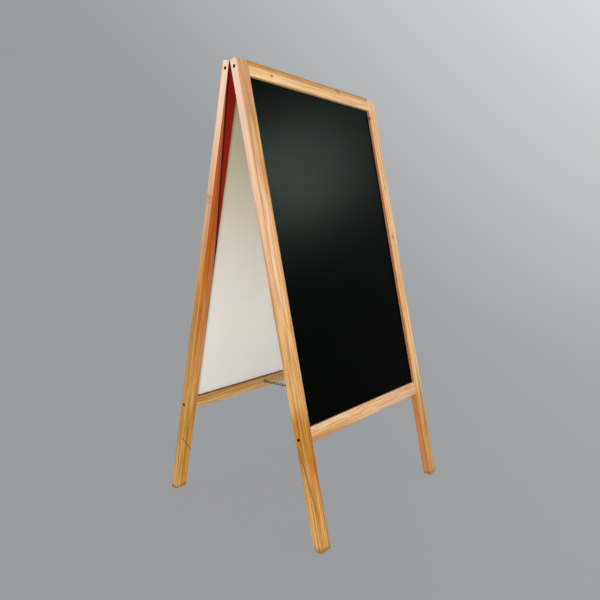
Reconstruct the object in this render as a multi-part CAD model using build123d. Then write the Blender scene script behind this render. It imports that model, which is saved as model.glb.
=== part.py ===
from build123d import *
import math
import os

# Folding wooden chalkboard: two equal frames hinged along their top rails, a chain between the
# bottom rails. Millimetres, +Z up, the front chalk face towards -Y, origin on the floor at the
# centre of the footprint.
#
# Each frame is drawn upright in its own layout first: x across, y through the thickness with the
# hinge line at y = 0 and the frame on the -y side, z up with the hinge line at z = 0. It is then
# stood at the open angle.

# Driving dimensions
BOARD_WIDTH = 600.0
STILE_LENGTH = 1213.0  # along the outer face, from the top to the floor
STOCK_WIDTH = 38.0
STOCK_THICKNESS = 22.0
OPEN_HALF_ANGLE = 12.74  # lean of each frame from the vertical
PANEL_FOOT = 910.5  # from the top of the frame down to the bottom rail
ARRIS_RADIUS = 1.2
TOP_CORNER_RADIUS = 3.5

# Writing panel and its groove
CHALK_FACE_DEPTH = 8.6  # from the frame's outer face back to the chalk surface
CHALK_FACE_THICKNESS = 0.7
BACKING_THICKNESS = 2.7
GROOVE_DEPTH = 8.0
PANEL_EDGE_GAP = 1.0  # left in the groove's bottom, so that the panel can move

# Frame screws: countersunk wood screws at the bottom of a counterbore
SCREW_HEAD_RADIUS = 4.0
SCREW_SHANK_RADIUS = 2.0
SCREW_LENGTH = 60.0
SCREW_TIP_LENGTH = 6.0
COUNTERBORE_RADIUS = 4.3
COUNTERBORE_DEPTH = 13.0
BOTTOM_SCREW_DROP = 2.0  # the lower screws sit a little below the rail's middle
HOLE_CLEARANCE = 0.05

# Shape of every wood screw, as shares of its own sizes
RECESS_LENGTH_SHARE = 1.1  # cross recess, of the head's radius
RECESS_WIDTH_SHARE = 0.26  # of the head's radius
RECESS_DEPTH_SHARE = 0.7  # of the head's height
POINT_SHARE = 1 / 8  # blunt end of a screw's tip, of its shank's radius

# Butt hinges, let flush into the top edges
HINGE_X = 190.0  # each hinge's centre from the middle of the board
HINGE_LENGTH = 60.0
LEAF_WIDTH = 17.0
LEAF_THICKNESS = 1.5
LEAF_CORNER_RADIUS = 1.5
BARREL_RADIUS = 2.5
PIN_RADIUS = 1.3
PIN_CLEARANCE = 0.05
PIN_HEAD_RADIUS = 1.9
PIN_HEAD_LENGTH = 1.0
KNUCKLES = 5
KNUCKLE_GAP = 0.3
BARREL_RELIEF = 0.5
HINGE_LINE_RISE = BARREL_RADIUS - LEAF_THICKNESS  # hinge line above the top edge
FACE_GAP = 1.0  # between the frames' inner faces when they are parallel

# Hinge screws
LEAF_SCREW_HEAD_RADIUS = 3.2
LEAF_SCREW_SHANK_RADIUS = 1.7
LEAF_SCREW_LENGTH = 16.0
LEAF_SCREW_TIP_LENGTH = 3.0
LEAF_SCREW_PITCH = 20.0
LEAF_SCREW_STAGGER = 1.5
LEAF_SCREW_INSET = 10.0  # from the hinge line

# Screw eyes and chain
EYE_DEPTH_DOWN = 923.0  # from the top of the frame
EYE_RING_RADIUS = 5.0  # to the middle of the wire
EYE_WIRE_RADIUS = 1.3
EYE_STAND_OFF = 7.5  # ring centre from the rail's inner face
EYE_SHANK_LENGTH = 15.0
EYE_TIP_LENGTH = 2.6
FRONT_EYE_X = 34.0
BACK_EYE_X = 16.0
CHAIN_WIRE_RADIUS = 1.0
CHAIN_LINK_WIDTH = 8.0
LINKS_PER_HALF = 16
LINK_CLEARANCE = 0.15
EYE_LINK_CLEARANCE = 0.25
MIDDLE_SIDE_OFFSET = 3.9  # of each chain half's last link from the chain's middle line
MIDDLE_OVERRUN = 1.5  # of each half past the middle plane, beside the other half

# Derived places in the frame's layout
INNER_FACE_Y = -FACE_GAP / 2
OUTER_FACE_Y = INNER_FACE_Y - STOCK_THICKNESS
TOP_Z = -HINGE_LINE_RISE
RAIL_LENGTH = BOARD_WIDTH - 2 * STOCK_WIDTH
MID_FACE_Y = (INNER_FACE_Y + OUTER_FACE_Y) / 2
TOP_RAIL_Z = TOP_Z - STOCK_WIDTH / 2
BOTTOM_RAIL_Z = TOP_Z - PANEL_FOOT - STOCK_WIDTH / 2
CHALK_Y = OUTER_FACE_Y + CHALK_FACE_DEPTH
PANEL_THICKNESS = CHALK_FACE_THICKNESS + BACKING_THICKNESS
LEAN = math.radians(OPEN_HALF_ANGLE)
HINGE_LINE_Z = (STILE_LENGTH - TOP_Z) * math.cos(LEAN) + OUTER_FACE_Y * math.sin(LEAN)

os.makedirs("parts", exist_ok=True)
parts = {}


def block(x, y, z):
    """A box given by its (low, high) extents along each axis."""
    size = [high - low for low, high in (x, y, z)]
    centre = [(low + high) / 2 for low, high in (x, y, z)]
    return Pos(*centre) * Box(*size)


def rod(start, direction, length, radius, end_radius=None):
    """A round rod, or a taper down to end_radius, from a point along a direction."""
    at = Plane(origin=start, z_dir=direction)
    align = (Align.CENTER, Align.CENTER, Align.MIN)
    if end_radius is None:
        return at * Cylinder(radius, length, align=align)
    return at * Cone(radius, end_radius, length, align=align)


def stand_front(shape):
    """From the layout to the front frame's place: leant back, with its feet on the floor."""
    return Pos(0, 0, HINGE_LINE_Z) * Rot(-OPEN_HALF_ANGLE, 0, 0) * shape


def stand_back(shape):
    """The back frame is the front one turned half a turn about the vertical."""
    return Rot(0, 0, 180) * stand_front(shape)


# Wood


def screw_heads(side):
    """Middle of each frame screw's head on the stile at side -1 (left) or +1 (right)."""
    x = side * (BOARD_WIDTH / 2 - COUNTERBORE_DEPTH)
    return [(x, MID_FACE_Y, z) for z in (TOP_RAIL_Z, BOTTOM_RAIL_Z - BOTTOM_SCREW_DROP)]


def pilot_holes(side):
    """The way drilled for the shanks of both screws on one side, through the joint."""
    radius = SCREW_SHANK_RADIUS + HOLE_CLEARANCE
    return [rod(head, (-side, 0, 0), SCREW_LENGTH, radius) for head in screw_heads(side)]


def stile(side):
    """One long upright, at side -1 (left) or +1 (right), with its groove, bores and foot."""
    length = STILE_LENGTH + STOCK_THICKNESS  # over-long, for the level cut at the foot
    with BuildSketch(Plane.YZ) as outline:
        with Locations((MID_FACE_Y, TOP_Z - length / 2)):
            Rectangle(STOCK_THICKNESS, length)
        fillet(outline.vertices().group_by(Axis.Z)[-1], TOP_CORNER_RADIUS)
    bar = extrude(outline.sketch, STOCK_WIDTH)
    bar = Pos(side * (BOARD_WIDTH - STOCK_WIDTH) / 2 - STOCK_WIDTH / 2, 0, 0) * bar
    side_faces = [bar.faces().sort_by(Axis.X)[0], bar.faces().sort_by(Axis.X)[-1]]
    foot_z = TOP_Z - length
    arrises = [e for f in side_faces for e in f.edges() if e.center().Z > foot_z + ARRIS_RADIUS]
    bar = fillet(arrises, ARRIS_RADIUS)

    inner_x = side * (BOARD_WIDTH / 2 - STOCK_WIDTH)
    groove_x = sorted((inner_x, inner_x + side * GROOVE_DEPTH))
    bar -= block(
        groove_x,
        (CHALK_Y, CHALK_Y + PANEL_THICKNESS),
        (TOP_Z - PANEL_FOOT - GROOVE_DEPTH, TOP_Z - STOCK_WIDTH + GROOVE_DEPTH),
    )
    seat_depth = SCREW_HEAD_RADIUS - SCREW_SHANK_RADIUS
    for head, pilot in zip(screw_heads(side), pilot_holes(side)):
        bar -= pilot
        bar -= rod(head, (side, 0, 0), COUNTERBORE_DEPTH, COUNTERBORE_RADIUS)
        bar -= rod(head, (-side, 0, 0), seat_depth, SCREW_HEAD_RADIUS, SCREW_SHANK_RADIUS)

    # The foot is cut level with the floor at the open angle.
    below = Pos(0, 0, -HINGE_LINE_Z) * block(
        (-BOARD_WIDTH, BOARD_WIDTH), (-STILE_LENGTH, STILE_LENGTH), (-STILE_LENGTH, 0)
    )
    return bar - Rot(OPEN_HALF_ANGLE, 0, 0) * below


def rail(middle_z, groove_side):
    """A cross rail between the stiles, grooved on its lower (-1) or upper (+1) edge."""
    half = STOCK_WIDTH / 2
    bar = block(
        (-RAIL_LENGTH / 2, RAIL_LENGTH / 2),
        (OUTER_FACE_Y, INNER_FACE_Y),
        (middle_z - half, middle_z + half),
    )
    bar = fillet(bar.edges().filter_by(Axis.X), ARRIS_RADIUS)
    edge_z = middle_z + groove_side * half
    bar -= block(
        (-RAIL_LENGTH / 2, RAIL_LENGTH / 2),
        (CHALK_Y, CHALK_Y + PANEL_THICKNESS),
        sorted((edge_z, edge_z - groove_side * GROOVE_DEPTH)),
    )
    for side in (-1, 1):
        for pilot in pilot_holes(side):
            bar -= pilot
    return bar


def top_rail():
    """The top rail, with a mortise and a barrel relief for each hinge."""
    bar = rail(TOP_RAIL_Z, -1)
    for centre in (-HINGE_X, HINGE_X):
        half = HINGE_LENGTH / 2
        bar -= block(
            (centre - half, centre + half), (-LEAF_WIDTH, 0), (TOP_Z - LEAF_THICKNESS, 0)
        )
        half += PIN_HEAD_LENGTH + BARREL_RELIEF
        start = (centre - half, 0, 0)
        bar -= rod(start, (1, 0, 0), 2 * half, BARREL_RADIUS + BARREL_RELIEF)
        for x, y in leaf_screw_places(centre):
            top = TOP_Z - LEAF_THICKNESS
            bar -= rod((x, y, top), (0, 0, -1), LEAF_SCREW_LENGTH, LEAF_SCREW_SHANK_RADIUS)
    return bar


def bottom_rail(eye_x):
    """The bottom rail, with the screw eye's hole in its inner face."""
    bar = rail(BOTTOM_RAIL_Z, 1)
    hole = rod(
        (eye_x, INNER_FACE_Y, TOP_Z - EYE_DEPTH_DOWN),
        (0, -1, 0),
        EYE_SHANK_LENGTH,
        EYE_WIRE_RADIUS + HOLE_CLEARANCE,
    )
    return bar - hole


def sheet(front_y, thickness):
    """One layer of the writing panel, standing in the grooves."""
    reach = GROOVE_DEPTH - PANEL_EDGE_GAP
    half_width = RAIL_LENGTH / 2 + reach
    return block(
        (-half_width, half_width),
        (front_y, front_y + thickness),
        (TOP_Z - PANEL_FOOT - reach, TOP_Z - STOCK_WIDTH + reach),
    )


# Fasteners


def countersunk_screw(start, direction, head_radius, shank_radius, length, tip_length):
    """A wood screw with a cross recess, from the middle of its head's flat top."""
    head_length = head_radius - shank_radius
    straight = length - head_length - tip_length
    at = Plane(origin=start, z_dir=direction)
    align = (Align.CENTER, Align.CENTER, Align.MIN)
    body = Cone(head_radius, shank_radius, head_length, align=align)
    body += Pos(0, 0, head_length) * Cylinder(shank_radius, straight, align=align)
    tip = Cone(shank_radius, shank_radius * POINT_SHARE, tip_length, align=align)
    body += Pos(0, 0, head_length + straight) * tip
    slot_length = head_radius * RECESS_LENGTH_SHARE
    slot_width = head_radius * RECESS_WIDTH_SHARE
    slot_depth = head_length * RECESS_DEPTH_SHARE
    for turn in (0, 90):
        body -= Rot(0, 0, turn) * Box(slot_length, slot_width, 2 * slot_depth)
    return at * body


def frame_screws():
    """The four screws of one frame."""
    sizes = (SCREW_HEAD_RADIUS, SCREW_SHANK_RADIUS, SCREW_LENGTH, SCREW_TIP_LENGTH)
    return [
        countersunk_screw(head, (-side, 0, 0), *sizes)
        for side in (-1, 1)
        for head in screw_heads(side)
    ]


def leaf_screw_places(centre):
    """(x, y) of the screws of the leaf centred at x = centre."""
    places = []
    for step in (-1, 0, 1):
        stagger = LEAF_SCREW_STAGGER if step == 0 else -LEAF_SCREW_STAGGER
        places.append((centre + step * LEAF_SCREW_PITCH, -LEAF_SCREW_INSET - stagger))
    return places


def leaf_screws():
    """All the hinge screws of one frame."""
    sizes = (
        LEAF_SCREW_HEAD_RADIUS,
        LEAF_SCREW_SHANK_RADIUS,
        LEAF_SCREW_LENGTH,
        LEAF_SCREW_TIP_LENGTH,
    )
    return [
        countersunk_screw((x, y, TOP_Z), (0, 0, -1), *sizes)
        for centre in (-HINGE_X, HINGE_X)
        for x, y in leaf_screw_places(centre)
    ]


# Hinges


def knuckle_span(centre, index):
    """(low, high) x of one knuckle of the hinge at x = centre."""
    pitch = HINGE_LENGTH / KNUCKLES
    low = centre - HINGE_LENGTH / 2 + index * pitch
    return low + KNUCKLE_GAP / 2, low + pitch - KNUCKLE_GAP / 2


def hinge_leaf(centre, own_knuckles):
    """A leaf with its own knuckles, cut away round the other leaf's."""
    low, high = centre - HINGE_LENGTH / 2, centre + HINGE_LENGTH / 2
    plate = block((low, high), (-LEAF_WIDTH, 0), (TOP_Z - LEAF_THICKNESS, TOP_Z))
    outer_corners = plate.edges().filter_by(Axis.Z).group_by(Axis.Y)[0]
    plate = fillet(outer_corners, LEAF_CORNER_RADIUS)
    for index in range(KNUCKLES):
        x0, x1 = knuckle_span(centre, index)
        if index in own_knuckles:
            plate += rod((x0, 0, 0), (1, 0, 0), x1 - x0, BARREL_RADIUS)
        else:
            start = (x0 - KNUCKLE_GAP, 0, 0)
            length = x1 - x0 + 2 * KNUCKLE_GAP
            plate -= rod(start, (1, 0, 0), length, BARREL_RADIUS + KNUCKLE_GAP)
    plate -= rod((low, 0, 0), (1, 0, 0), HINGE_LENGTH, PIN_RADIUS + PIN_CLEARANCE)
    for x, y in leaf_screw_places(centre):
        depth = LEAF_SCREW_HEAD_RADIUS - LEAF_SCREW_SHANK_RADIUS
        start = (x, y, TOP_Z)
        plate -= rod(start, (0, 0, -1), depth, LEAF_SCREW_HEAD_RADIUS, LEAF_SCREW_SHANK_RADIUS)
        plate -= rod(start, (0, 0, -1), LEAF_THICKNESS, LEAF_SCREW_SHANK_RADIUS)
    return plate


def hinge_pin(centre):
    """A pin with a peened head at each end."""
    half = HINGE_LENGTH / 2
    pin = rod((centre - half, 0, 0), (1, 0, 0), HINGE_LENGTH, PIN_RADIUS)
    for side in (-1, 1):
        start = (centre + side * half, 0, 0)
        pin += rod(start, (side, 0, 0), PIN_HEAD_LENGTH, PIN_HEAD_RADIUS, PIN_RADIUS)
    return pin


# Chain and its eyes


def eye_centre(eye_x):
    """Centre of a screw eye's ring in the layout."""
    return Vector(eye_x, INNER_FACE_Y + EYE_STAND_OFF, TOP_Z - EYE_DEPTH_DOWN)


def screw_eye(eye_x):
    """A ring in the plane square to the board's width, on a shank screwed into the rail."""
    centre = eye_centre(eye_x)
    ring = Pos(*centre) * Rot(0, 90, 0) * Torus(EYE_RING_RADIUS, EYE_WIRE_RADIUS)
    shank_start = centre - Vector(0, EYE_RING_RADIUS, 0)
    reach = EYE_STAND_OFF - EYE_RING_RADIUS + EYE_SHANK_LENGTH
    straight = reach - EYE_TIP_LENGTH
    shank = rod(shank_start, (0, -1, 0), straight, EYE_WIRE_RADIUS)
    tip_start = shank_start - Vector(0, straight, 0)
    point_radius = EYE_WIRE_RADIUS * POINT_SHARE
    tip = rod(tip_start, (0, -1, 0), EYE_TIP_LENGTH, EYE_WIRE_RADIUS, point_radius)
    return ring + shank + tip


def chain_link(inner_length):
    """A welded link lying in its local XY plane, long along X, centred."""
    bow_radius = CHAIN_LINK_WIDTH / 2 - CHAIN_WIRE_RADIUS
    half_straight = inner_length / 2 - (bow_radius - CHAIN_WIRE_RADIUS)
    path = SlotCenterToCenter(2 * half_straight, 2 * bow_radius).face().outer_wire()
    start = path @ 0
    section = Plane(origin=start, z_dir=path % 0) * Circle(CHAIN_WIRE_RADIUS)
    return sweep(section, path=path)


def chain_half(eye, middle):
    """Links from a screw eye's centre to a point beside the chain's middle."""
    run = middle - eye
    along = run.normalized()
    across = Vector(0, 0, 1).cross(along)
    first = EYE_RING_RADIUS - EYE_WIRE_RADIUS - EYE_LINK_CLEARANCE
    last = run.length + MIDDLE_OVERRUN - 2 * CHAIN_WIRE_RADIUS
    pitch = (last - first - LINK_CLEARANCE) / LINKS_PER_HALF
    inner_length = pitch + LINK_CLEARANCE
    links = []
    for index in range(LINKS_PER_HALF):
        centre = eye + along * (first + index * pitch + inner_length / 2)
        normal = Vector(0, 0, 1) if index % 2 == 0 else across
        links.append(Plane(origin=centre, x_dir=along, z_dir=normal) * chain_link(inner_length))
    return links


def front_eye_point():
    """Centre of the front screw eye's ring, with the front frame at the open angle."""
    centre = eye_centre(FRONT_EYE_X)
    place = Rot(-OPEN_HALF_ANGLE, 0, 0) * Pos(*centre)
    return place.position + Vector(0, 0, HINGE_LINE_Z)


# Assembly

FRONT_KNUCKLES = (0, 2, 4)
BACK_KNUCKLES = (1, 3)

for name, stand, eye_layout_x, left in (
    ("front", stand_front, FRONT_EYE_X, -1),
    ("back", stand_back, -BACK_EYE_X, 1),
):
    parts[f"{name}_left_stile"] = [stand(stile(left))]
    parts[f"{name}_right_stile"] = [stand(stile(-left))]
    parts[f"{name}_top_rail"] = [stand(top_rail())]
    parts[f"{name}_bottom_rail"] = [stand(bottom_rail(eye_layout_x))]
    parts[f"{name}_chalk_face"] = [stand(sheet(CHALK_Y, CHALK_FACE_THICKNESS))]
    backing_y = CHALK_Y + CHALK_FACE_THICKNESS
    parts[f"{name}_backing_panel"] = [stand(sheet(backing_y, BACKING_THICKNESS))]
    parts[f"{name}_frame_screws"] = [stand(screw) for screw in frame_screws()]
    parts[f"{name}_hinge_screws"] = [stand(screw) for screw in leaf_screws()]
    parts[f"{name}_chain_eye"] = [stand(screw_eye(eye_layout_x))]

for name, centre in (("left", -HINGE_X), ("right", HINGE_X)):
    parts[f"{name}_hinge_front_leaf"] = [stand_front(hinge_leaf(centre, FRONT_KNUCKLES))]
    parts[f"{name}_hinge_back_leaf"] = [stand_back(hinge_leaf(-centre, BACK_KNUCKLES))]
    parts[f"{name}_hinge_pin"] = [stand_front(hinge_pin(centre))]

front_eye = front_eye_point()
back_eye = Vector(BACK_EYE_X, -front_eye.Y, front_eye.Z)
chain_middle = Vector((FRONT_EYE_X + BACK_EYE_X) / 2, 0, front_eye.Z)
side_step = Vector(MIDDLE_SIDE_OFFSET, 0, 0)
parts["chain_front_half"] = chain_half(front_eye, chain_middle + side_step)
parts["chain_back_half"] = chain_half(back_eye, chain_middle - side_step)

for node, solids in parts.items():
    shape = solids[0] if len(solids) == 1 else Compound(children=solids)
    export_step(shape, f"parts/{node}.step")

print("hinge line height", round(HINGE_LINE_Z, 3))
print("front eye", [round(v, 3) for v in front_eye])
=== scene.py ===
import math
import random

import bpy
from mathutils import Matrix, Vector


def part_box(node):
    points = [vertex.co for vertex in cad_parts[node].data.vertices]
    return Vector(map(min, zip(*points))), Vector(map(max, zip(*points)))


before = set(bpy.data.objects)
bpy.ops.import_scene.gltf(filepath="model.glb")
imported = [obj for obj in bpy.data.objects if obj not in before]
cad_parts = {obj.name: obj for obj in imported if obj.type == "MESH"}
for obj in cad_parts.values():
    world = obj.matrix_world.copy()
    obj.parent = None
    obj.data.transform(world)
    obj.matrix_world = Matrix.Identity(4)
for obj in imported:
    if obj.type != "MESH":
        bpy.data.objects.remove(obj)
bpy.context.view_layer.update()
random.seed(7)

# ---------------------------------------------------------------- places taken from the frame

FRAMES = ("front", "back")
SIDES = ("left", "right")


def centre(node):
    low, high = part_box(node)
    return (low + high) / 2


def up_of(name):
    """The direction up a leaning frame, from its bottom rail to its top rail."""
    return (centre(f"{name}_top_rail") - centre(f"{name}_bottom_rail")).normalized()


def member_middle(node):
    """A wooden member's middle. A stile's box is lopsided because its foot is cut level, so its
    middle is taken in the plane of the rails."""
    name = node.split("_")[0]
    rail = centre(f"{name}_top_rail")
    rise = (centre(node) - rail).dot(UP[name])
    middle = rail + UP[name] * rise
    middle.x = centre(node).x
    return middle


UP = {name: up_of(name) for name in FRAMES}
LEAN = {name: math.atan2(UP[name].y, UP[name].z) for name in FRAMES}
BOARD_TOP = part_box("front_left_stile")[1].z
STOCK_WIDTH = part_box("front_left_stile")[1].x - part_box("front_left_stile")[0].x
STOCK_THICKNESS = 0.022

# ---------------------------------------------------------------- camera

CAMERA_AT = Vector((-1.2888, -1.0636, 0.7898))
CAMERA_YAW = math.radians(52.69)
CAMERA_PITCH = math.radians(-8.86)
CAMERA_ROLL = math.radians(0.441)
LENS = 33.79
SENSOR = 36.0
SHIFT = (-0.05, 0.02)
CLIP_END = 100


def make_camera():
    data = bpy.data.cameras.new("camera")
    data.lens = LENS
    data.sensor_width = SENSOR
    data.shift_x, data.shift_y = SHIFT
    data.clip_end = CLIP_END
    camera = bpy.data.objects.new("camera", data)
    bpy.context.scene.collection.objects.link(camera)
    level = math.cos(CAMERA_PITCH)
    forward = Vector(
        (math.sin(CAMERA_YAW) * level, math.cos(CAMERA_YAW) * level, math.sin(CAMERA_PITCH))
    )
    right = Vector((math.cos(CAMERA_YAW), -math.sin(CAMERA_YAW), 0))
    up = right.cross(forward)
    x_axis = right * math.cos(CAMERA_ROLL) + up * math.sin(CAMERA_ROLL)
    y_axis = up * math.cos(CAMERA_ROLL) - right * math.sin(CAMERA_ROLL)
    turn = Matrix((x_axis, y_axis, -forward)).transposed().to_4x4()
    camera.matrix_world = Matrix.Translation(CAMERA_AT) @ turn
    bpy.context.scene.camera = camera


# ---------------------------------------------------------------- node helpers


def is_colour(value):
    return hasattr(value, "__len__")


class Nodes:
    """A short way to write a material's nodes."""

    def __init__(self, name):
        self.material = bpy.data.materials.new(name)
        self.material.use_nodes = True
        self.tree = self.material.node_tree
        self.tree.nodes.clear()
        self.output = self.tree.nodes.new("ShaderNodeOutputMaterial")

    def new(self, kind, **settings):
        node = self.tree.nodes.new("ShaderNode" + kind)
        for key, value in settings.items():
            setattr(node, key, value)
        return node

    def link(self, value, socket):
        """Links a socket to another, or sets a plain value on it."""
        if isinstance(value, bpy.types.NodeSocket):
            self.tree.links.new(value, socket)
        else:
            socket.default_value = value

    def math(self, operation, a, b=0.0, c=0.0, clamp=False):
        node = self.new("Math", operation=operation, use_clamp=clamp)
        for socket, value in zip(node.inputs, (a, b, c)):
            self.link(value, socket)
        return node.outputs[0]

    def times(self, a, b):
        return self.math("MULTIPLY", a, b)

    def times_plus(self, a, b, c, clamp=False):
        return self.math("MULTIPLY_ADD", a, b, c, clamp)

    def minus(self, a, b):
        return self.math("SUBTRACT", a, b)

    def size_of(self, value):
        return self.math("ABSOLUTE", value)

    def centred(self, value):
        """A 0 to 1 value moved to -0.5 to 0.5."""
        return self.minus(value, 0.5)

    def spread(self, value, low, high):
        """A 0 to 1 value spread over low to high."""
        return self.times_plus(value, high - low, low)

    def step(self, value, low, high):
        """0 below low, 1 above high, smooth between. Low may be above high."""
        node = self.new("MapRange", interpolation_type="SMOOTHSTEP")
        self.link(value, node.inputs["Value"])
        node.inputs["From Min"].default_value = min(low, high)
        node.inputs["From Max"].default_value = max(low, high)
        node.inputs["To Min"].default_value = 0.0 if low < high else 1.0
        node.inputs["To Max"].default_value = 1.0 if low < high else 0.0
        return node.outputs["Result"]

    def vector(self, operation, a, b=(0, 0, 0)):
        node = self.new("VectorMath", operation=operation)
        self.link(a, node.inputs[0])
        self.link(b, node.inputs[1])
        return node.outputs["Value" if operation in ("DOT_PRODUCT", "LENGTH") else "Vector"]

    def split(self, value):
        node = self.new("SeparateXYZ")
        self.link(value, node.inputs[0])
        return node.outputs

    def join(self, x, y, z):
        node = self.new("CombineXYZ")
        for socket, value in zip(node.inputs, (x, y, z)):
            self.link(value, socket)
        return node.outputs[0]

    def distance(self, x, y):
        return self.vector("LENGTH", self.join(x, y, 0.0))

    def noise(self, where, scale, detail=3.0, roughness=0.55, stretch=None, distortion=0.0):
        """Noise of about 0 to 1. A stretch below 1 draws it out along that axis."""
        if stretch:
            where = self.vector("MULTIPLY", where, stretch)
        node = self.new("TexNoise")
        self.link(where, node.inputs["Vector"])
        node.inputs["Scale"].default_value = scale
        node.inputs["Detail"].default_value = detail
        node.inputs["Roughness"].default_value = roughness
        node.inputs["Distortion"].default_value = distortion
        return node.outputs["Fac"]

    def ramp(self, value, stops, ease="EASE"):
        """Colours or plain values at places from 0 to 1."""
        node = self.new("ValToRGB")
        node.color_ramp.interpolation = ease
        elements = node.color_ramp.elements
        while len(elements) < len(stops):
            elements.new(0.5)
        for element, (place, stop) in zip(elements, stops):
            element.position = place
            element.color = (*stop, 1) if is_colour(stop) else (stop, stop, stop, 1)
        self.link(value, node.inputs[0])
        return node.outputs[0]

    def mix(self, factor, a, b, blend="MIX"):
        node = self.new("Mix", data_type="RGBA", blend_type=blend)
        self.link(factor, node.inputs[0])
        for socket, value in ((node.inputs[6], a), (node.inputs[7], b)):
            self.link((*value, 1) if is_colour(value) else value, socket)
        return node.outputs[2]

    def bump(self, height, distance, strength):
        node = self.new("Bump")
        self.link(height, node.inputs["Height"])
        node.inputs["Distance"].default_value = distance
        node.inputs["Strength"].default_value = strength
        return node.outputs[0]

    def place(self):
        return self.new("TexCoord").outputs["Object"]

    def facing(self):
        return self.new("TexCoord").outputs["Normal"]

    def finish(self, colour, roughness, normal=None, **settings):
        """Ends the material in a Principled shader. Other inputs are named with underscores."""
        shader = self.new("BsdfPrincipled")
        self.link(colour, shader.inputs["Base Color"])
        self.link(roughness, shader.inputs["Roughness"])
        if normal is not None:
            self.link(normal, shader.inputs["Normal"])
        for key, value in settings.items():
            self.link(value, shader.inputs[key.replace("_", " ")])
        self.tree.links.new(shader.outputs[0], self.output.inputs["Surface"])
        return self.material


def srgb(r, g, b):
    """A colour written as 0 to 255 screen values, as linear light."""
    return tuple(
        v / 12.92 if v <= 0.04045 else ((v + 0.055) / 1.055) ** 2.4
        for v in (r / 255, g / 255, b / 255)
    )


def paint(node, material):
    """Gives a CAD node's object the material in every slot."""
    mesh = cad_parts[node].data
    if not mesh.materials:
        mesh.materials.append(material)
    for index in range(len(mesh.materials)):
        mesh.materials[index] = material


# ---------------------------------------------------------------- wood

# Colours in pairs run from a light part of the wood to a dark one
EARLYWOOD = (srgb(232, 200, 166), srgb(184, 127, 16))
LATEWOOD = (srgb(200, 132, 66), srgb(128, 71, 2))
RESIN = srgb(98, 50, 6)
LOWER_TINT = (1.0, 0.97, 0.66)
# Painted shadow colour of the red wedge on the inner faces
SHADOW_RED = srgb(148, 8, 12)

# Stains, and painted shade, shadow, highlight and sheen: a colour and how much of it covers the
# wood
KNOT = (srgb(96, 30, 10), 1.0)
RESIN_LINE = (RESIN, 0.4)
# Paler arrises: partly rubbed wear, partly a painted highlight
RUBBED_AND_HIGHLIGHT = (srgb(226, 178, 120), 0.2)
END_GRAIN = (srgb(140, 84, 38), 0.5)
# Painted shade on the inner faces, deepening upwards
INNER_SHADE = (srgb(170, 58, 2), 0.75)
# Painted shadow edge along the red wedge
SHADOW_BORDER = (srgb(42, 6, 3), 0.9)
# Painted shade on the bottom rail's ledge
LEDGE_SHADE = (srgb(72, 34, 6), 1.0)
# Painted sheen, pale at the top of the stiles' outer sides
PAINTED_SHEEN = (srgb(255, 216, 194), 0.42)
CHECK = (srgb(52, 26, 16), 0.8)
VEIN = (srgb(112, 62, 18), 0.75)
GRIME = (srgb(88, 54, 30), 0.6)
# Painted shade deep inside the screw holes
BORE_SHADE = (srgb(22, 7, 4), 1.0)
# Painted shade on a stile's side towards the panel
FLANK_SHADE = srgb(178, 86, 2)
# How strongly the painted red shadow covers the wood
SHADOW_RED_COVER = 0.9
LEDGE_COVER = 0.85

# How dark a ring is from its start to its end: dark latewood starts softly and stops sharply
RING_PROFILE = [(0.0, 0.1), (0.3, 0.0), (0.72, 0.55), (0.9, 1.0), (1.0, 0.1)]
# Tints by the patch and the fibre noise
PATCH_TINTS = [(0.25, (0.88, 0.83, 0.72)), (0.5, (1, 1, 1)), (0.75, (1.04, 1.0, 0.92))]
FIBRE_TINTS = [(0.3, (0.68, 0.6, 0.52)), (0.55, (1, 1, 1)), (0.8, (1.05, 1.03, 1.0))]

# Noises that run with the grain: scale, detail, roughness, stretch along the grain
GRAIN_NOISES = {
    "ripple": (34, 3.0, 0.55, 0.1),
    "fibre": (760, 4.0, 0.65, 0.016),
    "streak": (130, 4.0, 0.65, 0.016),
    "thread": (330, 3.0, 0.6, 0.014),
    "band": (38, 2.0, 0.5, 0.05),
    "patch": (9, 3.0, 0.5, 0.3),
    "resin": (1300, 1.0, 0.5, 0.03),
    "rub": (60, 4.0, 0.6, 0.25),
}
SEED_REACH = 9

# How strongly streaky effects show, and where their noise starts and is full
LATE_COVER = 0.65
THREAD_COVER, THREADS = 0.8, (0.48, 0.6)
STREAK_COVER, STREAKS = 0.75, (0.53, 0.64)
CORE_COVER, STREAK_CORES = 0.5, (0.62, 0.72)
RESIN_LINES = (0.66, 0.76)
TINT_COVER = 0.85
PATCH_TONE = 0.9
BAND_TONE = 2.2

# Rings: how far the heart wanders, and how much weaker some rings are than others
RINGS_PER_METRE = 260.0
RING_RIPPLE = 0.8
HEART_DRIFT, DRIFT_NOISE = 0.016, dict(scale=1.9, detail=2.0, stretch=(0.5, 0.5, 1))
HEART_SWAY, SWAY_NOISE = 0.014, dict(scale=3.7, detail=2.0, stretch=(0.6, 0.6, 1))
RING_NOISE = 3.3
RING_CHANCE = (0.3, 0.65)
WEAKEST_RING = 0.35
# A knot is drawn out along the grain and pushes rings aside. Its zones are in knot sizes.
KNOT_SQUEEZE = 0.55
KNOT_RINGS = 3.0
KNOT_PUSH = (4.5, 0.4)
KNOT_EDGE = (1.6, 0.7)
KNOT_RAGGED = 0.5
KNOT_NOISE = 260

# How far a surface turns towards an axis before it counts as facing it
FACING = (0.5, 0.9)
LEDGE_FACING = (0.6, 0.9)
END_FACING = (0.7, 0.95)

# Heights above the floor, in metres, where an effect starts and is full
WARM_TOP, WARM_FULL = 0.8, 0.3
INNER_SHADE_HEIGHTS = (0.15, 1.0)
PAINTED_SHEEN_HEIGHTS = (0.7, 1.15)
BELOW_PANEL = (0.5, 0.45)
GRIME_HEIGHTS = (0.0, -0.016)

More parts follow.
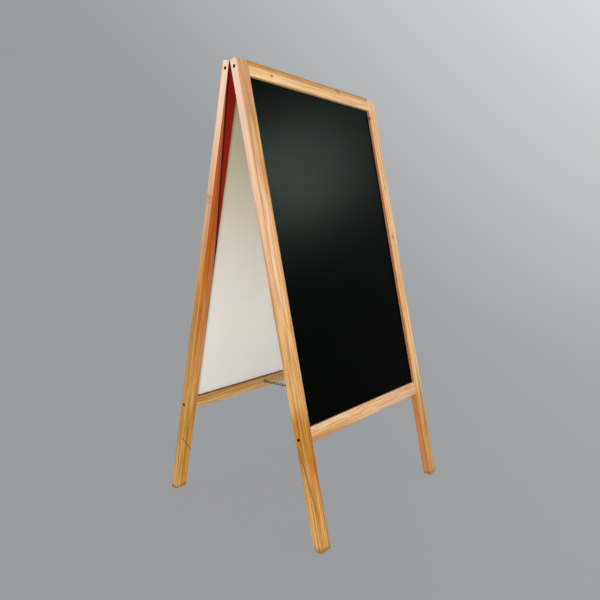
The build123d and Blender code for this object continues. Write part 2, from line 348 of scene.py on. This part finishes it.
# Placed marks: where an edge starts and is full, in metres. A slope, core or softness is a ratio.
ARRIS_RUB = (0.0006, -0.0009)
ARRIS_NOISE = 0.0034
WEDGE_SLOPE = 0.071
WEDGE_JITTER = 0.003
WEDGE_EDGE = (-0.001, 0.002)
BORDER_OUTER = (-0.0026, -0.0012)
BORDER_INNER = (0.005, 0.002)
LEDGE_EDGE = (0.0, 0.0012)
CHECK_JITTER = 0.006
CHECK_CORE = 0.4
VEIN_BEND = 0.006
VEIN_EDGE = (0.0032, 0.0006)
VEIN_LOW_FADE, VEIN_HIGH_FADE = 0.04, 0.03
GRIME_NOISE = 0.03
BORE_RADIUS = 0.0046
BORE_SOFTNESS = 0.03
BORE_MOUTH = (0.0001, 0.0004)
BOTTOM_SCREW_DROP = 0.002

# Varnish: gloss on a face, how much of it the inner face lacks, and what roughens it
GLOSS = 0.4
INNER_BARE = 0.8
SPECULAR = 0.35
COAT_ROUGHNESS = 0.42
ROUGHNESS = 0.4
STREAK_ROUGHNESS = 0.2
RUB_ROUGHNESS = 0.3
DULL_ROUGHNESS = 0.25
RELIEF_DEPTH = 0.0004
RELIEF_STRENGTH = 0.6


class Pine(Nodes):
    """Varnished pine for one wooden member. Each method lays one effect over the colour.

    The member's own axes start at its middle: x across its face (up, on a rail), y through it
    and z along the grain (up a stile, towards the left on a rail). A look says what sets the
    member apart, with places in metres on those axes:
    tones: how dark it is at places along it, from 0 at its foot or left end to 1
    rise: how much darker its upper edge is, on a rail; below zero, a painted highlight there
    streaks: how strongly its grain shows
    pith: where the heart of the tree lies from the member's middle, across and through it
    slope: how far the heart moves through it for each metre along it
    knots: each knot's place along and across it, size and strength
    warm_top, warmth: how high its yellower lower part reaches, and how yellow it is
    wedge: how strong the red wedge of painted shadow is
    flank: how dark the painted shade on its side towards the panel is
    check: a check's place along it, its fall across the face and its half width
    vein: a vein's place along it at the outer arris, its slant and its two ends
    specular: its specular level"""

    def __init__(self, node, look):
        super().__init__(f"pine_{node}")
        self.node = node
        self.look = look
        self.name = node.split("_")[0]
        self.is_rail = node.endswith("rail")
        self.lean = LEAN[self.name]
        self.inward_sign = 1.0 if self.name == "front" else -1.0
        self.outward_sign = 1.0 if centre(node).x > 0 else -1.0
        self.streaks = look.get("streaks", 1.0)
        low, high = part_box(node)
        self.length = (high - low).x if self.is_rail else (high - low).z / math.cos(self.lean)

        offset = self.vector("SUBTRACT", self.place(), tuple(member_middle(node)))
        own = self.own_axes(offset)
        seed = tuple(random.uniform(-SEED_REACH, SEED_REACH) for _ in range(3))
        self.where = self.vector("ADD", own, seed)
        self.across, self.through, self.along = self.split(own)
        self.face_x, self.face_y, self.face_z = self.split(self.own_axes(self.facing()))
        self.height = self.split(self.place())[2]
        for kind in ("fibre", "streak", "thread", "band", "patch"):
            setattr(self, kind, self.grain_noise(kind))
        self.inward = self.step(self.times(self.face_y, self.inward_sign), *FACING)

    def own_axes(self, value):
        """Turns a place or a direction into the member's own axes."""
        rotate = self.new("VectorRotate", rotation_type="EULER_XYZ")
        self.link(value, rotate.inputs["Vector"])
        rotate.inputs["Rotation"].default_value = (
            self.lean,
            math.pi / 2 if self.is_rail else 0.0,
            0.0,
        )
        return rotate.outputs[0]

    def grain_noise(self, kind):
        scale, detail, roughness, stretch = GRAIN_NOISES[kind]
        return self.noise(self.where, scale, detail, roughness, stretch=(1, 1, stretch))

    def cover(self, amount, colour, strength):
        """Lays a colour over what is there."""
        self.colour = self.mix(self.times(amount, strength), self.colour, colour)

    def tint(self, amount, colour):
        self.colour = self.mix(amount, self.colour, colour, "MULTIPLY")

    def make_rings(self):
        """Growth rings round a heart that wanders along the member, pushed aside by the knots.
        Sets how much of each ring is latewood and how much each place belongs to a knot."""
        pith_across, pith_through = self.look["pith"]
        drift = self.centred(self.noise(self.where, **DRIFT_NOISE))
        sway = self.centred(self.noise(self.where, **SWAY_NOISE))
        u = self.times_plus(drift, HEART_DRIFT, self.minus(self.across, pith_across))
        v = self.minus(self.through, pith_through)
        v = self.times_plus(self.along, self.look["slope"], v)
        v = self.times_plus(sway, HEART_SWAY, v)
        ripple = self.times(self.centred(self.grain_noise("ripple")), RING_RIPPLE)
        rings = self.times_plus(self.distance(u, v), RINGS_PER_METRE, ripple)
        self.knot = 0.0
        for place_along, place_across, size, strength in self.look.get("knots", ()):
            squeezed = self.times(self.minus(self.along, place_along), KNOT_SQUEEZE)
            distance = self.distance(self.minus(self.across, place_across), squeezed)
            push = self.step(distance, *(size * reach for reach in KNOT_PUSH))
            rings = self.times_plus(push, KNOT_RINGS, rings)
            ragged = self.noise(self.where, KNOT_NOISE, 2.0)
            edge = self.times_plus(ragged, size * KNOT_RAGGED, distance)
            shade = self.step(edge, *(size * reach for reach in KNOT_EDGE))
            shade = self.times(shade, strength)
            self.knot = self.math("MAXIMUM", shade, self.knot)
        late = self.ramp(self.math("FRACT", rings), RING_PROFILE, "LINEAR")
        ring_number = self.math("FLOOR", rings)
        each_ring = self.noise(self.join(0.0, 0.0, ring_number), RING_NOISE, 1.0)
        weight = self.spread(self.step(each_ring, *RING_CHANCE), WEAKEST_RING, 1.0)
        self.late = self.times(late, weight)

    def grain(self):
        """Fibre, resin lines and broad bands of colour, all running with the grain."""
        rise = self.look.get("rise", 0.0) / STOCK_WIDTH
        share = self.times_plus(self.along, (-1 if self.is_rail else 1) / self.length, 0.5)
        tone = self.ramp(share, self.look["tones"])
        tone = self.times_plus(self.across, rise, tone)
        tone = self.times_plus(self.centred(self.patch), PATCH_TONE, tone)
        band = BAND_TONE * self.streaks
        tone = self.times_plus(self.centred(self.band), band, tone, clamp=True)
        self.colour = self.mix(tone, *EARLYWOOD)
        deep = self.mix(tone, *LATEWOOD)
        self.cover(self.late, deep, LATE_COVER * self.streaks)
        self.cover(self.step(self.thread, *THREADS), deep, THREAD_COVER * self.streaks)
        self.cover(self.step(self.streak, *STREAKS), deep, STREAK_COVER * self.streaks)
        self.cover(self.step(self.streak, *STREAK_CORES), RESIN, CORE_COVER * self.streaks)
        self.tint(TINT_COVER, self.ramp(self.patch, PATCH_TINTS))
        self.tint(TINT_COVER, self.ramp(self.fibre, FIBRE_TINTS))
        self.cover(self.step(self.grain_noise("resin"), *RESIN_LINES), *RESIN_LINE)
        if "knots" in self.look:
            self.cover(self.knot, *KNOT)

    def yellow_below(self):
        """The lower part is yellower."""
        warm = self.step(self.height, self.look.get("warm_top", WARM_TOP), WARM_FULL)
        self.tint(self.times(warm, self.look.get("warmth", 1.0)), LOWER_TINT)

    def rub_and_highlight_arrises(self):
        # Paler arrises, partly rubbed wear and partly a painted highlight along the edges
        from_side = self.minus(STOCK_WIDTH / 2, self.size_of(self.across))
        from_face = self.minus(STOCK_THICKNESS / 2, self.size_of(self.through))
        from_arris = self.math("ADD", from_side, from_face)
        ragged = self.times_plus(self.grain_noise("rub"), -ARRIS_NOISE, from_arris)
        self.rub = self.step(ragged, *ARRIS_RUB)
        self.cover(self.rub, *RUBBED_AND_HIGHLIGHT)

    def darken_ends(self):
        """End grain drinks more varnish."""
        self.end = self.step(self.size_of(self.face_z), *END_FACING)
        self.cover(self.end, *END_GRAIN)

    def shade_inside(self):
        """Painted shade: the inner face darkens upwards, into the narrow gap under the hinges."""
        shaded = self.times(self.inward, self.step(self.height, *INNER_SHADE_HEIGHTS))
        self.cover(shaded, *INNER_SHADE)

    def painted_shadow_wedge(self):
        """Painted shadow: red-brown shade on the inner face, in a wedge that narrows down from
        the hinges, with a painted dark shadow edge."""
        down = self.minus(self.length / 2, self.along)
        from_outside = self.times_plus(self.across, -self.outward_sign, STOCK_WIDTH / 2)
        past = self.times_plus(down, -WEDGE_SLOPE, from_outside)
        past = self.times_plus(self.centred(self.streak), WEDGE_JITTER, past)
        strength = self.times(self.inward, self.look.get("wedge", 0.4))
        border = self.times(self.step(past, *BORDER_OUTER), self.step(past, *BORDER_INNER))
        red = self.mix(SHADOW_RED_COVER, self.colour, SHADOW_RED)
        self.cover(self.step(past, *WEDGE_EDGE), red, strength)
        self.cover(self.times(border, strength), *SHADOW_BORDER)

    def shaded_ledge(self):
        """Painted shade lies dark on the bottom rail's ledge under the white board, inside the A.
        """
        inner = self.times(self.through, self.inward_sign)
        ledge = self.times(self.step(self.face_x, *LEDGE_FACING), self.step(inner, *LEDGE_EDGE))
        ledge = self.times(ledge, self.step(self.height, *BELOW_PANEL))
        self.ledge = self.times(ledge, LEDGE_COVER)
        self.cover(self.ledge, *LEDGE_SHADE)

    def shade_and_sheen_sides(self):
        """A stile's side towards the panel gets painted shade, darker than its face, and its
        outer one gets a painted sheen that pales it upwards."""
        flank = self.step(self.times(self.face_x, -self.outward_sign), *FACING)
        self.cover(flank, FLANK_SHADE, self.look.get("flank", 0.25))
        outer = self.step(self.times(self.face_x, self.outward_sign), *FACING)
        self.cover(self.times(outer, self.step(self.height, *PAINTED_SHEEN_HEIGHTS)), *PAINTED_SHEEN)

    def check_across(self):
        """A check that runs down across the inner face, dark with dirt."""
        place_along, fall, reach = self.look["check"]
        from_line = self.times_plus(self.across, fall, self.minus(self.along, place_along))
        from_line = self.times_plus(self.centred(self.streak), CHECK_JITTER, from_line)
        check = self.step(self.size_of(from_line), reach, reach * CHECK_CORE)
        self.cover(self.times(check, self.inward), *CHECK)

    def vein_round_arris(self):
        """A dark vein of grain that crosses the outer arris on its way down the leg."""
        crossing, slant, low_end, high_end = self.look["vein"]
        round_arris = self.minus(self.across, self.through)
        round_arris = self.math("ADD", round_arris, STOCK_WIDTH / 2 - STOCK_THICKNESS / 2)
        bend = self.times(self.centred(self.band), VEIN_BEND)
        from_vein = self.times_plus(self.minus(self.along, crossing), slant, bend)
        from_vein = self.size_of(self.math("ADD", from_vein, round_arris))
        low_fade = self.step(self.along, low_end, low_end + VEIN_LOW_FADE)
        high_fade = self.step(self.along, high_end, high_end - VEIN_HIGH_FADE)
        vein = self.times(self.step(from_vein, *VEIN_EDGE), low_fade)
        self.cover(self.times(vein, high_fade), *VEIN)

    def grime_on_foot(self):
        noise = self.noise(self.where, 70, 4.0, 0.65)
        height = self.times_plus(noise, -GRIME_NOISE, self.height)
        self.grime = self.step(height, *GRIME_HEIGHTS)
        self.cover(self.grime, *GRIME)

    def shade_bores(self):
        """Painted shade on the walls of the two screw holes that run in from a stile's outer
        side, near the rails' middles."""
        dark = 0.0
        for rail, drop in (("top", 0.0), ("bottom", BOTTOM_SCREW_DROP)):
            to_rail = centre(f"{self.name}_{rail}_rail") - member_middle(self.node)
            middle = to_rail.dot(UP[self.name]) - drop
            distance = self.distance(self.minus(self.along, middle), self.through)
            outer, inner = BORE_RADIUS * (1 + BORE_SOFTNESS), BORE_RADIUS * (1 - BORE_SOFTNESS)
            dark = self.math("MAXIMUM", self.step(distance, outer, inner), dark)
        mouth = (STOCK_WIDTH / 2 - depth for depth in BORE_MOUTH)
        sunk = self.step(self.size_of(self.across), *mouth)
        self.cover(self.times(dark, sunk), *BORE_SHADE)

    def varnish(self):
        relief = self.times_plus(self.late, 0.5, self.times(self.fibre, 0.5))
        roughness = self.times_plus(self.streak, STREAK_ROUGHNESS, ROUGHNESS)
        roughness = self.times_plus(self.rub, RUB_ROUGHNESS, roughness)
        dull = self.math("MAXIMUM", self.grime, self.end)
        roughness = self.times_plus(dull, DULL_ROUGHNESS, roughness)
        ledge = self.ledge if self.is_rail else 0.0
        bare = self.times_plus(self.inward, INNER_BARE, ledge, clamp=True)
        return self.finish(
            self.colour,
            roughness,
            self.bump(relief, RELIEF_DEPTH, RELIEF_STRENGTH),
            Specular_IOR_Level=self.look.get("specular", SPECULAR),
            Coat_Weight=self.times_plus(bare, -GLOSS, GLOSS),
            Coat_Roughness=COAT_ROUGHNESS,
        )


def pine(node, look):
    wood = Pine(node, look)
    wood.make_rings()
    wood.grain()
    wood.yellow_below()
    wood.rub_and_highlight_arrises()
    wood.darken_ends()
    wood.shade_inside()
    if wood.is_rail:
        wood.shaded_ledge()
    else:
        wood.painted_shadow_wedge()
        wood.shade_and_sheen_sides()
    if "check" in look:
        wood.check_across()
    if "vein" in look:
        wood.vein_round_arris()
    wood.grime_on_foot()
    if not wood.is_rail:
        wood.shade_bores()
    return wood.varnish()


LOOKS = {
    "front_left_stile": dict(
        tones=[
            (0.0, 0.6),
            (0.14, 0.8),
            (0.23, 1.2),
            (0.31, 0.4),
            (0.5, 0.3),
            (0.7, 0.3),
            (0.95, 0.65),
        ],
        streaks=0.85,
        vein=(-0.452, 0.144, -0.53, -0.33),
        pith=(0.006, 0.06),
        slope=0.02,
    ),
    "front_right_stile": dict(
        tones=[(0.0, 0.55), (0.2, 0.6), (0.28, 0.1), (0.45, 0.0), (0.7, 0.2), (0.95, 0.0)],
        warm_top=1.4,
        streaks=0.85,
        pith=(-0.02, 0.05),
        slope=-0.015,
        flank=0.6,
        knots=[
            (0.542, -0.0185, 0.003, 1.0),
            (0.3196, 0.0, 0.004, 0.45),
            (0.1616, -0.003, 0.006, 0.55),
        ],
    ),
    "front_top_rail": dict(
        tones=[(0.0, 0.0), (1.0, 0.0)],
        rise=2.6,
        streaks=0.65,
        warm_top=2.5,
        pith=(0.03, 0.03),
        slope=0.01,
        knots=[(0.1806, -0.0026, 0.0036, 0.7), (-0.1044, 0.01, 0.007, 0.4)],
    ),
    "front_bottom_rail": dict(
        tones=[(0.0, 0.6), (0.5, 0.15), (1.0, 0.5)],
        # A painted highlight along its upper edge
        rise=-0.9,
        warmth=0.1,
        streaks=0.7,
        pith=(0.01, -0.07),
        slope=0.008,
    ),
    "back_left_stile": dict(
        tones=[(0.0, 0.65), (0.3, 0.75), (0.6, 0.65), (0.95, 0.5)],
        streaks=0.75,
        # Full strength of the painted red shadow wedge
        wedge=1.0,
        specular=0.1,
        check=(-0.4565, 1.37, 0.0028),
        pith=(-0.01, -0.05),
        slope=0.018,
        knots=[(0.272, -0.019, 0.0035, 0.35), (0.26, -0.019, 0.0025, 0.25)],
    ),
    "back_right_stile": dict(
        tones=[(0.0, 0.5), (0.5, 0.4), (1.0, 0.3)], pith=(0.015, 0.055), slope=-0.02
    ),
    "back_top_rail": dict(tones=[(0.0, 0.4), (1.0, 0.5)], pith=(0.0, 0.06), slope=0.012),
    "back_bottom_rail": dict(
        tones=[(0.0, 0.2), (1.0, 0.25)], streaks=0.7, pith=(-0.02, -0.06), slope=-0.01
    ),
}

# ---------------------------------------------------------------- panels

CHALKBOARD = (0.0005, 0.0007, 0.0005)
CHALK_HAZE, HAZE_COVER = (0.35, 0.36, 0.35), 0.0015
CHALK_DUST, DUST_COVER = (0.5, 0.5, 0.5), 0.001
CHALK_SPECULAR = 0.01
CHALK_REFLECTION = (0.82, 1.0, 0.88, 1.0)
WHITE = (srgb(241, 237, 228), srgb(246, 243, 236))
# Painted shade: the board darkens and warms towards the top
TOP_SHADE, TOP_SHADE_HEIGHTS = srgb(204, 196, 166), (0.5, 1.15)
SMUDGE, SMUDGE_COVER = srgb(196, 186, 170), 0.2
WHITE_SPECULAR = 0.4


def chalk_surface():
    """Near black, with a trace of wiped chalk."""
    n = Nodes("chalk_surface")
    where = n.place()
    cloud = n.noise(where, 5, 4.0, 0.6)
    wipe = n.noise(where, 22, 3.0, 0.6, stretch=(1, 0.5, 0.16), distortion=0.6)
    dust = n.noise(where, 900, 2.0, 0.6)
    haze = n.times(n.step(wipe, 0.45, 0.85), n.step(cloud, 0.35, 0.75))
    colour = n.mix(n.times(haze, HAZE_COVER), CHALKBOARD, CHALK_HAZE)
    colour = n.mix(n.times(n.step(dust, 0.6, 0.85), DUST_COVER), colour, CHALK_DUST)
    roughness = n.times_plus(cloud, 0.1, 0.25)
    return n.finish(
        colour,
        roughness,
        n.bump(n.noise(where, 2600, 2.0), 0.0001, 0.4),
        Specular_IOR_Level=CHALK_SPECULAR,
        Specular_Tint=CHALK_REFLECTION,
    )


def white_board():
    """White, with painted shade that darkens and warms it towards the top, and faint smudges."""
    n = Nodes("white_board")
    where = n.place()
    mottle = n.noise(where, 7, 4.0, 0.55)
    smudge = n.noise(where, 34, 4.0, 0.6, distortion=0.4)
    height = n.times_plus(n.centred(mottle), 0.2, n.split(where)[2])
    colour = n.mix(mottle, *WHITE)
    colour = n.mix(n.step(height, *TOP_SHADE_HEIGHTS), colour, TOP_SHADE)
    colour = n.mix(n.times(n.step(smudge, 0.6, 0.82), SMUDGE_COVER), colour, SMUDGE)
    roughness = n.times_plus(smudge, 0.15, 0.36)
    normal = n.bump(n.noise(where, 420, 3.0), 0.0002, 0.35)
    return n.finish(colour, roughness, normal, Specular_IOR_Level=WHITE_SPECULAR)


# ---------------------------------------------------------------- metal

RUST = srgb(112, 66, 40)
STEELS = {
    "hinge_steel": dict(
        bright=(0.46, 0.44, 0.40), dull=(0.32, 0.31, 0.29), rust=0.3, roughness=0.34
    ),
    "screw_steel": dict(
        bright=(0.42, 0.40, 0.37), dull=(0.28, 0.27, 0.25), rust=0.4, roughness=0.3
    ),
    "chain_steel": dict(
        bright=(0.20, 0.19, 0.18), dull=(0.11, 0.105, 0.10), rust=0.35, roughness=0.34
    ),
    # Screws deep in their holes, given a near-black colour and no glint as painted shade
    "shaded_sunk_screw_steel": dict(
        bright=(0.012, 0.01, 0.009),
        dull=(0.006, 0.005, 0.005),
        rust=0.02,
        roughness=0.6,
        metallic=0.0,
        specular=0.1,
    ),
}


def steel(name, bright, dull, rust, roughness, metallic=1.0, specular=0.5):
    """Steel mottled between two colours, with rust of a given strength in blotches."""
    n = Nodes(name)
    where = n.place()
    spangle = n.noise(where, 380, 3.0, 0.6)
    blotch = n.noise(where, 90, 4.0, 0.6)
    colour = n.mix(n.step(spangle, 0.35, 0.7), bright, dull)
    colour = n.mix(n.times(n.step(blotch, 0.56, 0.72), rust), colour, RUST)
    rough = n.times_plus(blotch, 0.25, roughness)
    normal = n.bump(n.noise(where, 1400, 3.0), 0.00006, 0.5)
    return n.finish(colour, rough, normal, Metallic=metallic, Specular_IOR_Level=specular)


# ---------------------------------------------------------------- studio

FLOOR_RADIUS = 5.0
INNER_RADIUS = 1.5
CURVE_RADIUS = 3.0
CURVE_STEPS = 24
WALL_HEIGHT = 7.0
BOWL_SIDES = 96
GRADE_LENGTH = 5.6
GREYS = [(0.0, srgb(149, 150, 152)), (0.5, srgb(179, 180, 182)), (1.0, srgb(211, 212, 214))]
PAPER = ((0.05, 0.05, 0.05), (0.06, 0.06, 0.06))
WARM_LIGHT = (1.0, 0.97, 0.93)
GREENISH_LIGHT = (0.84, 1.0, 0.9)
SKY = (0.95, 0.97, 1.0, 1)
SKY_STRENGTH = 0.6


def backdrop():
    """A round pale floor that curves up into a wall."""
    profile = [(INNER_RADIUS, 0.0), (FLOOR_RADIUS, 0.0)]
    for i in range(1, CURVE_STEPS + 1):
        turn = math.pi / 2 * i / CURVE_STEPS
        profile.append(
            (
                FLOOR_RADIUS + CURVE_RADIUS * math.sin(turn),
                CURVE_RADIUS * (1 - math.cos(turn)),
            )
        )
    profile.append((FLOOR_RADIUS + CURVE_RADIUS, WALL_HEIGHT))
    vertices = [(0, 0, 0)]
    for distance, height in profile:
        for i in range(BOWL_SIDES):
            turn = 2 * math.pi * i / BOWL_SIDES
            vertices.append((distance * math.cos(turn), distance * math.sin(turn), height))
    faces = [(0, 1 + i, 1 + (i + 1) % BOWL_SIDES) for i in range(BOWL_SIDES)]
    for ring in range(len(profile) - 1):
        low, high = 1 + ring * BOWL_SIDES, 1 + (ring + 1) * BOWL_SIDES
        for i in range(BOWL_SIDES):
            j = (i + 1) % BOWL_SIDES
            faces.append((low + i, high + i, high + j, low + j))
    mesh = bpy.data.meshes.new("backdrop")
    mesh.from_pydata(vertices, [], faces)
    for polygon in mesh.polygons:
        polygon.use_smooth = True
    sweep = bpy.data.objects.new("backdrop", mesh)
    bpy.context.scene.collection.objects.link(sweep)
    mesh.materials.append(backdrop_paper())


def backdrop_paper():
    """Paper that glows softly, lighter towards one upper side, and takes a faint shadow."""
    n = Nodes("backdrop_paper")
    where = n.place()
    grade_axis = Vector((math.cos(CAMERA_YAW), -math.sin(CAMERA_YAW), 1.0)).normalized()
    grade = n.math("DIVIDE", n.vector("DOT_PRODUCT", where, tuple(grade_axis)), GRADE_LENGTH)
    return n.finish(
        n.mix(n.noise(where, 180, 3.0), *PAPER),
        0.9,
        Specular_IOR_Level=0.0,
        Emission_Color=n.ramp(grade, GREYS, "LINEAR"),
        Emission_Strength=1.0,
    )


def softbox(name, at, target, width, height, power, colour=(1, 1, 1)):
    """A rectangular light of a given size in metres and power in watts, aimed at a target."""
    data = bpy.data.lights.new(name, "AREA")
    data.shape = "RECTANGLE"
    data.size, data.size_y = width, height
    data.energy = power
    data.color = colour
    light = bpy.data.objects.new(name, data)
    bpy.context.scene.collection.objects.link(light)
    light.location = at
    light.rotation_euler = (Vector(target) - Vector(at)).to_track_quat("-Z", "Y").to_euler()
    light.visible_camera = False
    return light


def light_only(lights, pieces):
    """Lets some lights reach only these pieces, so the backdrop stays even."""
    lit = bpy.data.collections.new("lit")
    for piece in pieces:
        lit.objects.link(piece)
    for light in lights:
        light.light_linking.receiver_collection = lit


def studio():
    middle = Vector((0, 0, BOARD_TOP / 2))
    upper = middle + Vector((0, 0, 0.4))
    panel = middle + Vector((0, 0, 0.3))
    near_feet = (0.1, 0.15, 0.3)
    lights = (
        softbox("key", (-0.65, -3.8, 2.6), middle, 0.25, 0.25, 76, WARM_LIGHT),
        softbox("left", (-2.3, 2.1, 2.0), upper, 1.7, 1.3, 41),
        softbox("low", (-2.1, -1.4, 0.25), near_feet, 1.0, 0.5, 40),
        softbox("far", (2.4, 2.2, 2.2), middle, 1.4, 1.4, 45),
    )
    light_only(lights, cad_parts.values())
    sheen = softbox("sheen", (2.02, -1.84, 1.98), panel, 0.6, 0.6, 78, GREENISH_LIGHT)
    light_only((sheen,), [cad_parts[f"{name}_chalk_face"] for name in FRAMES])
    world = bpy.data.worlds.new("world")
    bpy.context.scene.world = world
    world.use_nodes = True
    background = world.node_tree.nodes["Background"]
    background.inputs["Color"].default_value = SKY
    background.inputs["Strength"].default_value = SKY_STRENGTH
    bpy.context.scene.view_settings.view_transform = "Standard"


# ---------------------------------------------------------------- the whole scene


def paint_all():
    for node, look in LOOKS.items():
        paint(node, pine(node, look))
    chalk, white = chalk_surface(), white_board()
    steels = {name: steel(name, **look) for name, look in STEELS.items()}
    for side in SIDES:
        for part in ("front_leaf", "back_leaf", "pin"):
            paint(f"{side}_hinge_{part}", steels["hinge_steel"])
    for name in FRAMES:
        paint(f"{name}_chalk_face", chalk)
        paint(f"{name}_backing_panel", white)
        paint(f"{name}_frame_screws", steels["shaded_sunk_screw_steel"])
        paint(f"{name}_hinge_screws", steels["screw_steel"])
        paint(f"{name}_chain_eye", steels["chain_steel"])
        paint(f"chain_{name}_half", steels["chain_steel"])


make_camera()
paint_all()
backdrop()
studio()
